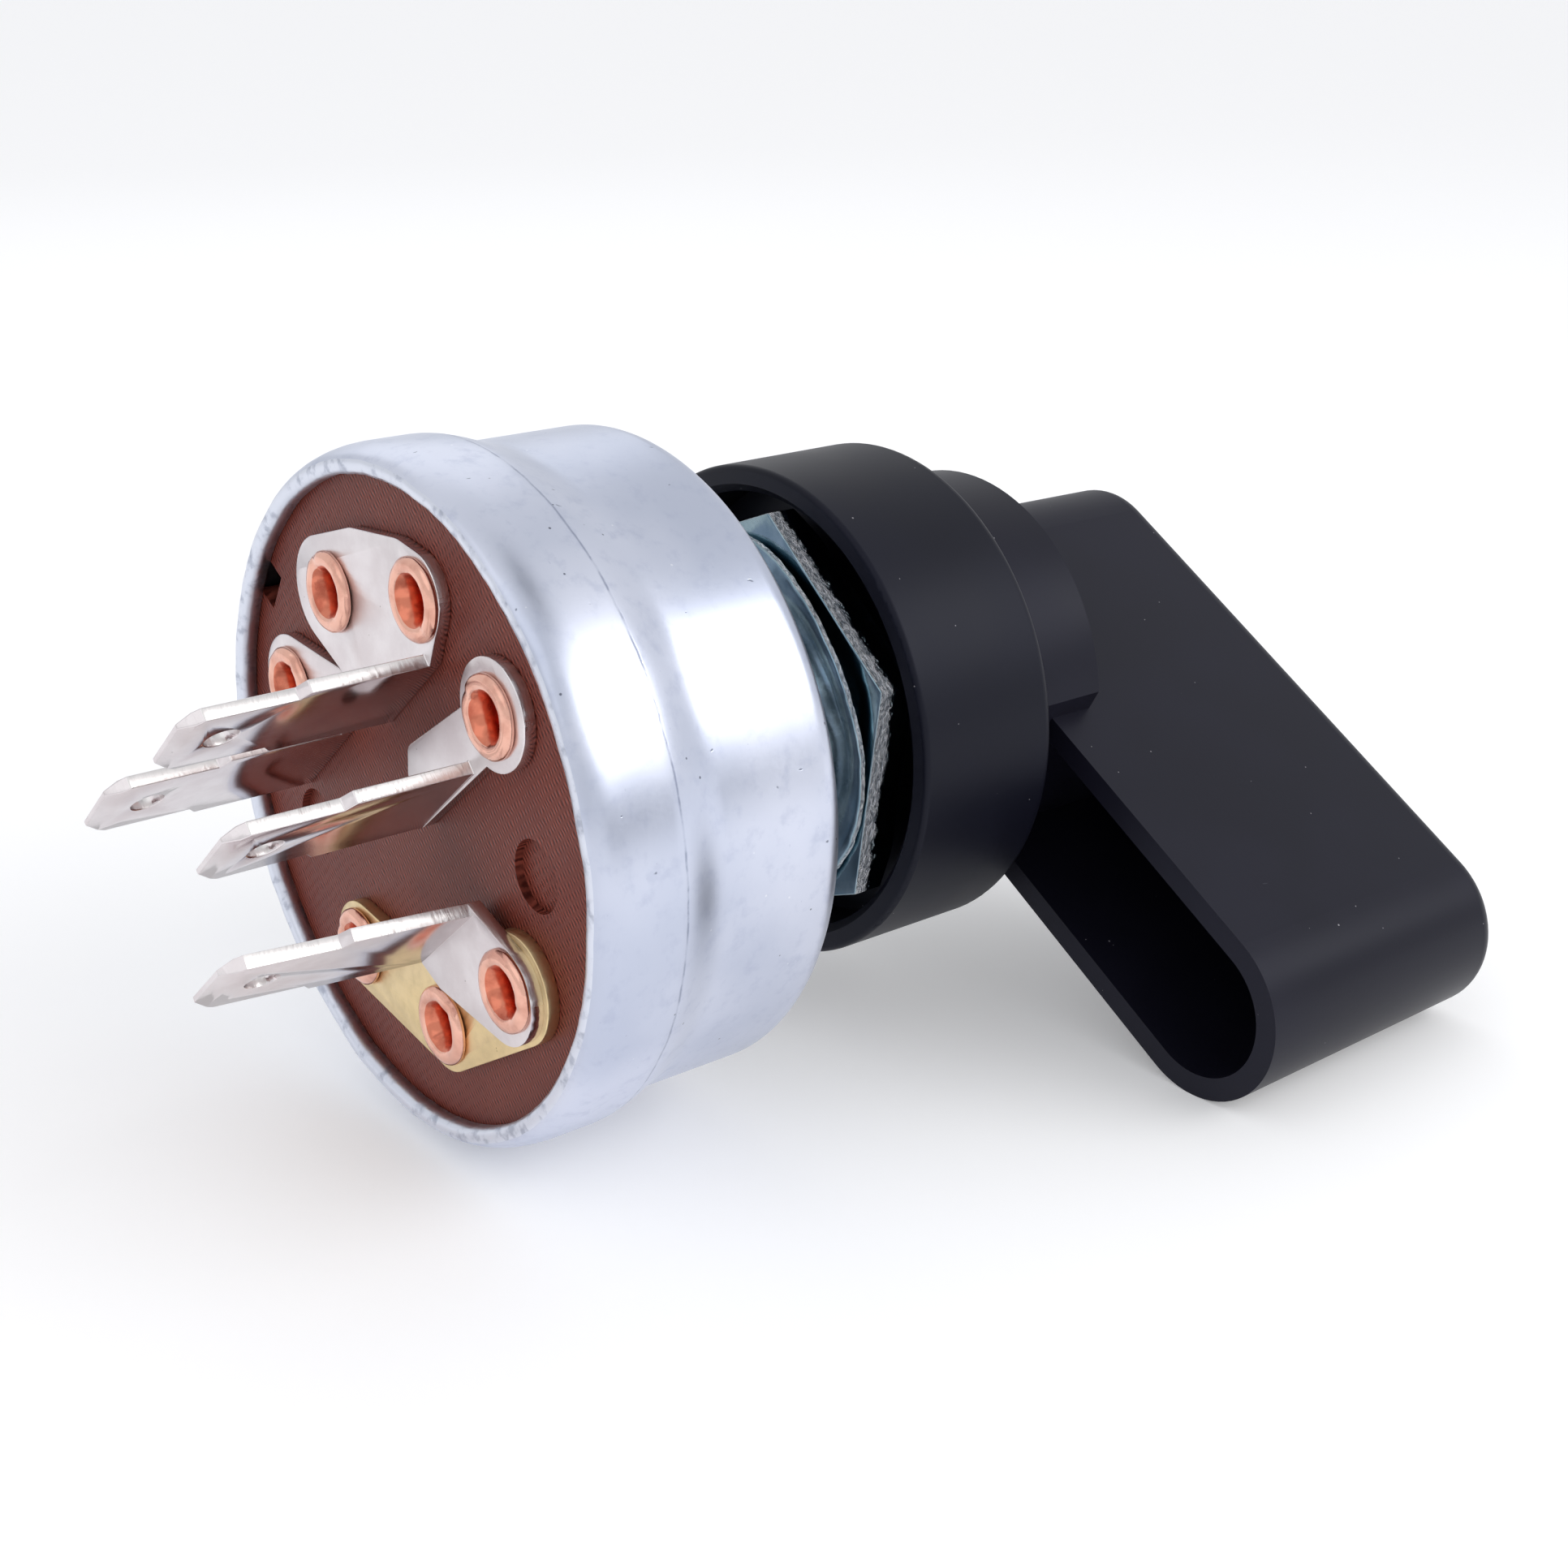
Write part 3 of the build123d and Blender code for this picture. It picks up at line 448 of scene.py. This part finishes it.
def lathe(bm, profile, segments, centre=(0.0, 0.0), shift=None, material_of=None):
    """Closed ring of faces: profile is (y, radius) in mm, turned about Y through centre.

    shift(angle, index) gives a change in y and radius, and material_of(index) the material
    of the strip after a profile point.
    """
    rings = []
    for step in range(segments):
        angle = 2.0 * math.pi * step / segments
        ring = []
        for index, (y, radius) in enumerate(profile):
            dy, dr = shift(angle, index) if shift else (0.0, 0.0)
            reach = radius + dr
            ring.append(bm.verts.new((
                (centre[0] + reach * math.cos(angle)) * MM,
                (y + dy) * MM,
                (centre[1] + reach * math.sin(angle)) * MM,
            )))
        rings.append(ring)
    count = len(profile)
    for step in range(segments):
        here, after = rings[step], rings[(step + 1) % segments]
        for index in range(count):
            other = (index + 1) % count
            face = bm.faces.new((here[index], here[other], after[other], after[index]))
            face.material_index = material_of(index) if material_of else 0


def soften(node, body, width_mm):
    """Make a copy of a CAD node with its sharp edges rounded off, to stand for the node."""
    source = nodes[node]
    bm = bmesh.new()
    bm.from_mesh(source.data)
    bmesh.ops.remove_doubles(bm, verts=bm.verts, dist=WELD_MM * MM)
    bmesh.ops.dissolve_limit(bm, angle_limit=FLAT_ANGLE, verts=bm.verts, edges=bm.edges)
    piece = new_piece(f"{node}_soft", bm, list(source.data.materials))
    bevel = piece.modifiers.new("edges", "BEVEL")
    bevel.width = width_mm * MM
    bevel.segments = BEVEL_SEGMENTS
    bevel.limit_method = "ANGLE"
    bevel.angle_limit = BEVEL_ANGLE
    bevel.harden_normals = True
    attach(piece, body)
    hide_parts(node)


# ---- terminals, jumper, nut -------------------------------------------------------------

for terminal in ("terminal_upper", "terminal_left", "terminal_right", "terminal_feed"):
    soften(terminal, "housing", 0.07)
soften("jumper_plate", "housing", 0.06)
soften("hex_nut", "housing", 0.10)


# ---- can: drawn shell with a crimped edge -------------------------------------------------

# In mm: y along the shaft, and radii about it.
BODY_R = 19.8
BAND_R = 20.75
BAND_START = 15.0
BAND_FULL = 19.0
CAN_FRONT = 6.6
CORNER_R = 1.6
SHEET = 0.85
HOLE_R = 8.06
LIP_INSIDE = 22.9  # y of the crimped lip's face on the board
FACE_RING_R = 12.0
BODY_RINGS = (9.0, 12.0)
CRIMP_START = 21.6
BAND_RINGS = (20.4, CRIMP_START)
CRIMP_DEPTH = 2.4
CRIMP_INSET = 0.95
CRIMP_POWER = 0.9
RIM = ((23.95, 19.4), (23.7, 19.15), (LIP_INSIDE, 19.2))
STEP_STRIPS = 10
CRIMP_STRIPS = 6
CAN_SEGMENTS = 360


def blend_between(low, high, share):
    """Smooth change from low to high while share goes from 0 to 1."""
    return low + (high - low) * (3.0 - 2.0 * share) * share * share


def can_corner(radius, degrees):
    """Points round the front corner as (y, radius), from one angle to the other."""
    points = []
    for angle in degrees:
        turn = math.radians(angle)
        points.append((CAN_FRONT + CORNER_R - radius * math.cos(turn),
                       BODY_R - CORNER_R + radius * math.sin(turn)))
    return points


def can_profile():
    """Outline of the sheet as (y, radius), outside first, and the rim's first and last points."""
    points = [(CAN_FRONT, HOLE_R), (CAN_FRONT, FACE_RING_R)]
    points += can_corner(CORNER_R, range(0, 91, 9))
    points += [(y, BODY_R) for y in BODY_RINGS]
    for step in range(STEP_STRIPS + 1):
        share = step / STEP_STRIPS
        y = BAND_START + (BAND_FULL - BAND_START) * share
        points.append((y, blend_between(BODY_R, BAND_R, share)))
    points += [(y, BAND_R) for y in BAND_RINGS]
    for step in range(1, CRIMP_STRIPS + 1):
        turn = math.radians(90.0 * step / CRIMP_STRIPS)
        points.append((CRIMP_START + CRIMP_DEPTH * math.sin(turn),
                       BAND_R - CRIMP_INSET * (1 - math.cos(turn)) ** CRIMP_POWER))
    rim_first = len(points) - 2
    points += RIM
    rim_last = len(points) - 1
    points += [(LIP_INSIDE, BAND_R - SHEET), (BAND_FULL, BAND_R - SHEET),
               (BAND_START, BODY_R - SHEET)]
    points += can_corner(CORNER_R - SHEET, range(90, -1, -18))
    points.append((CAN_FRONT + SHEET, HOLE_R))
    return points, rim_first, rim_last


def make_can():
    profile, rim_first, rim_last = can_profile()

    def shift(angle, index):
        """The rim is uneven as a crimp is, and the rest only just out of round."""
        if rim_first <= index <= rim_last:
            return (0.08 * wobble(1, angle, 6.0) + 0.03 * wobble(2, angle, 22.0),
                    0.09 * wobble(3, angle, 5.0) + 0.04 * wobble(4, angle, 20.0))
        return 0.0, 0.03 * wobble(5, angle, 1.5)

    bm = bmesh.new()
    lathe(bm, profile, CAN_SEGMENTS, shift=shift,
          material_of=lambda index: 1 if rim_first <= index < rim_last else 0)
    can = new_piece("can_shell", bm, [ZINC, EDGE])
    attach(can, "housing")
    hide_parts("can_housing")


make_can()


# ---- wave washer ------------------------------------------------------------------------

WASHER_RINGS = (8.3, 9.6, 10.9, 11.9)  # radii across each flat side
WASHER_R = 12.08
WASHER_T = 0.5
WASHER_MIDDLE = -0.72
WASHER_EDGE = 0.6  # the outer edge's share of the thickness
WAVES = 3
WAVE_HEIGHT = 0.40
WAVE_TURN = 0.6  # in radians
WASHER_SEGMENTS = 240


def make_washer():
    half = WASHER_T / 2
    profile = [(-half, radius) for radius in WASHER_RINGS]
    profile += [(-half * WASHER_EDGE, WASHER_R), (half * WASHER_EDGE, WASHER_R)]
    profile += [(half, radius) for radius in reversed(WASHER_RINGS)]
    edge_first = len(WASHER_RINGS) - 1
    edge_last = len(WASHER_RINGS) + 2

    def shift(angle, index):
        wave = WAVE_HEIGHT * math.sin(WAVES * angle + WAVE_TURN) + 0.05 * wobble(8, angle, 4.0)
        ragged = 0.10 * wobble(9, angle, 14.0) if edge_first <= index <= edge_last else 0.0
        return WASHER_MIDDLE + wave, ragged

    bm = bmesh.new()
    lathe(bm, profile, WASHER_SEGMENTS, shift=shift)
    washer = new_piece("washer_wavy", bm, [STAMPED])
    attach(washer, "housing")
    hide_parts("wave_washer")


make_washer()


# ---- eyelets: rolled flanges, each rolled a little differently -----------------------------

BOARD_BACK = 22.85
BOARD_FRONT = 20.65
STRIP = 0.8
FLANGE_R = 2.42
SHANK_R = 1.6
BUTTON_R = 2.3
FLANGE_ROLL = (  # height over the flange's seat, and radius more than FLANGE_R
    (0.0, -0.12), (0.10, 0.0), (0.28, -0.02), (0.44, -0.16), (0.54, -0.40), (0.55, -0.66),
)
FUNNEL = ((0.45, 1.55), (0.22, 1.34))  # height over the seat, and radius
BORE = ((-0.10, 1.16), (-0.45, 1.02), (-1.0, 0.95))  # the same
WELL = ((0.6, 0.9), (0.4, 0.6), (0.35, 0.01))  # y from the board's front, and radius
BUTTON = (  # the same
    (-0.9, 0.01), (-0.88, 0.9), (-0.7, 1.7), (-0.25, BUTTON_R), (0.0, BUTTON_R), (0.0, SHANK_R),
)
DENT_DEPTH = 0.09
DENT_WIDTH = 0.16  # in radians
EYELET_SEGMENTS = 72
EYELETS = (  # radius and angle about the shaft, and number of strips under the flange
    (13.2, 18.0, 1), (13.1, 60.0, 1), (13.5, 104.0, 1), (13.4, 141.5, 1),
    (13.9, 209.5, 2), (13.0, 253.5, 1), (12.4, 298.5, 1),
)


def eyelet_profile(flange):
    """Closed section of one eyelet as (y, radius), and the number of its flange points."""
    flange_points = [(flange, SHANK_R)]
    flange_points += [(flange + height, FLANGE_R + more) for height, more in FLANGE_ROLL]
    flange_points += [(flange + height, radius) for height, radius in FUNNEL]
    bore_points = [(flange + height, radius) for height, radius in BORE]
    bore_points += [(BOARD_FRONT + y, radius) for y, radius in WELL + BUTTON]
    return flange_points + bore_points, len(flange_points)


def make_eyelets():
    bm = bmesh.new()
    for seed, (radius, angle, strips) in enumerate(EYELETS):
        place = (radius * math.cos(math.radians(angle)), radius * math.sin(math.radians(angle)))
        profile, flange_count = eyelet_profile(BOARD_BACK + STRIP * strips)
        nick = rng.uniform(0, 2 * math.pi)

        def shift(turn, index, seed=seed, nick=nick, flange_count=flange_count):
            if not 1 < index < flange_count:
                return 0.0, 0.0
            away = abs(math.remainder(turn - nick, 2 * math.pi))
            dent = -DENT_DEPTH * math.exp(-((away / DENT_WIDTH) ** 2))
            height = 0.03 * wobble(seed + 20, turn, 2.5) + dent
            return height, 0.035 * wobble(seed + 40, turn, 3.5) + 0.4 * dent

        inner_first = flange_count - len(FUNNEL)
        inner_last = flange_count + len(BORE + WELL) - 1
        inner = range(inner_first, inner_last + 1)
        # The funnel, bore and well get the darker bore copper, which is painted shade down the
        # hole.
        lathe(bm, profile, EYELET_SEGMENTS, centre=place, shift=shift,
              material_of=lambda index, inner=inner: 1 if index in inner else 0)
    eyelets = new_piece("eyelets_rolled", bm, [COPPER_FLANGE, COPPER_BORE_SHADED])
    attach(eyelets, "housing")
    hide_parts("contact_eyelets")


make_eyelets()


# ---- floor, light and camera ----------------------------------------------------------------


def plain_material(name, colour, roughness, glow=0.0):
    s = Shader(name)
    return s.finish(colour, roughness, Emission_Color=(1.0, 1.0, 1.0, 1.0), Emission_Strength=glow)


def card(name, width, height, centre, facing, material):
    """Put a flat card in the room, turned to face a place."""
    bm = bmesh.new()
    corners = ((-1, -1), (1, -1), (1, 1), (-1, 1))
    bm.faces.new([bm.verts.new((x * width / 2, y * height / 2, 0)) for x, y in corners])
    piece = new_piece(name, bm, [material], smooth=False)
    direction = Vector(facing) - Vector(centre)
    turn = direction.to_track_quat("Z", "Y").to_matrix().to_4x4()
    piece.matrix_world = Matrix.Translation(Vector(centre)) @ turn


def softbox(name, width, height, centre, facing, power, colour):
    """Hang an area light in the room, turned to face a place."""
    light = bpy.data.lights.new(name, "AREA")
    light.shape = "RECTANGLE"
    light.size, light.size_y = width, height
    light.energy = power
    light.color = colour
    lamp = bpy.data.objects.new(name, light)
    bpy.context.scene.collection.objects.link(lamp)
    lamp.location = centre
    direction = Vector(facing) - Vector(centre)
    lamp.rotation_mode = "QUATERNION"
    lamp.rotation_quaternion = direction.to_track_quat("-Z", "Y")


# In metres and watts.
MIDDLE = (-0.005, 0.0, 0.0)
FLOOR_SIZE = 6.0
FLOOR_GLOW = 0.22
SOFTBOXES = (  # name, width, height, place, power, colour
    ("key", 0.40, 0.24, (-0.32, -0.18, 0.24), 0.80, (1.0, 0.99, 0.98)),
    ("fill", 0.50, 0.40, (-0.10, 0.42, 0.40), 0.2, (0.97, 0.98, 1.0)),
    ("side", 0.30, 0.30, (0.34, -0.12, 0.26), 0.1, (0.96, 0.98, 1.0)),
)
WORLD_COLOUR = (0.97, 0.98, 1.0, 1.0)
WORLD_STRENGTH = 0.82
BLACK_CARDS = (  # name, width, height, place: dark shapes for the metal to reflect
    ("low_card", 0.32, 0.07, (-0.41, -0.12, 0.005)),
    ("high_card", 0.12, 0.14, (-0.10, -0.03, 0.40)),
)
CAMERA_PLACE = (-0.10985, 0.0834, 0.0485)
CAMERA_AZIMUTH = math.radians(231.32)
CAMERA_ELEVATION = math.radians(20.94)
CAMERA_LENS = 52.95  # in mm, for a sensor SENSOR_WIDTH mm wide
SENSOR_WIDTH = 36.0

lowest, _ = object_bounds()
card("floor", FLOOR_SIZE, FLOOR_SIZE, (0, 0, lowest.z), (0, 0, 1),
     plain_material("floor_white", (0.84, 0.84, 0.85), 0.8, glow=FLOOR_GLOW))

for name, width, height, place, power, colour in SOFTBOXES:
    softbox(name, width, height, place, MIDDLE, power, colour)

world = bpy.data.worlds.new("studio")
bpy.context.scene.world = world
world.use_nodes = True
backdrop = world.node_tree.nodes["Background"]
backdrop.inputs["Color"].default_value = WORLD_COLOUR
backdrop.inputs["Strength"].default_value = WORLD_STRENGTH

card_black = plain_material("card_black", (0.04, 0.05, 0.07), 0.9)
for name, width, height, place in BLACK_CARDS:
    card(name, width, height, place, MIDDLE, card_black)

camera_data = bpy.data.cameras.new("camera")
camera_data.lens = CAMERA_LENS
camera_data.sensor_width = SENSOR_WIDTH
camera_data.clip_start = 0.005
camera_data.clip_end = 20.0
camera = bpy.data.objects.new("camera", camera_data)
bpy.context.scene.collection.objects.link(camera)
back = Vector((math.sin(CAMERA_AZIMUTH) * math.cos(CAMERA_ELEVATION),
               -math.cos(CAMERA_AZIMUTH) * math.cos(CAMERA_ELEVATION),
               math.sin(CAMERA_ELEVATION)))
camera.location = CAMERA_PLACE
camera.rotation_mode = "QUATERNION"
camera.rotation_quaternion = (-back).to_track_quat("-Z", "Y")
bpy.context.scene.camera = camera
bpy.context.scene.view_settings.view_transform = "Standard"
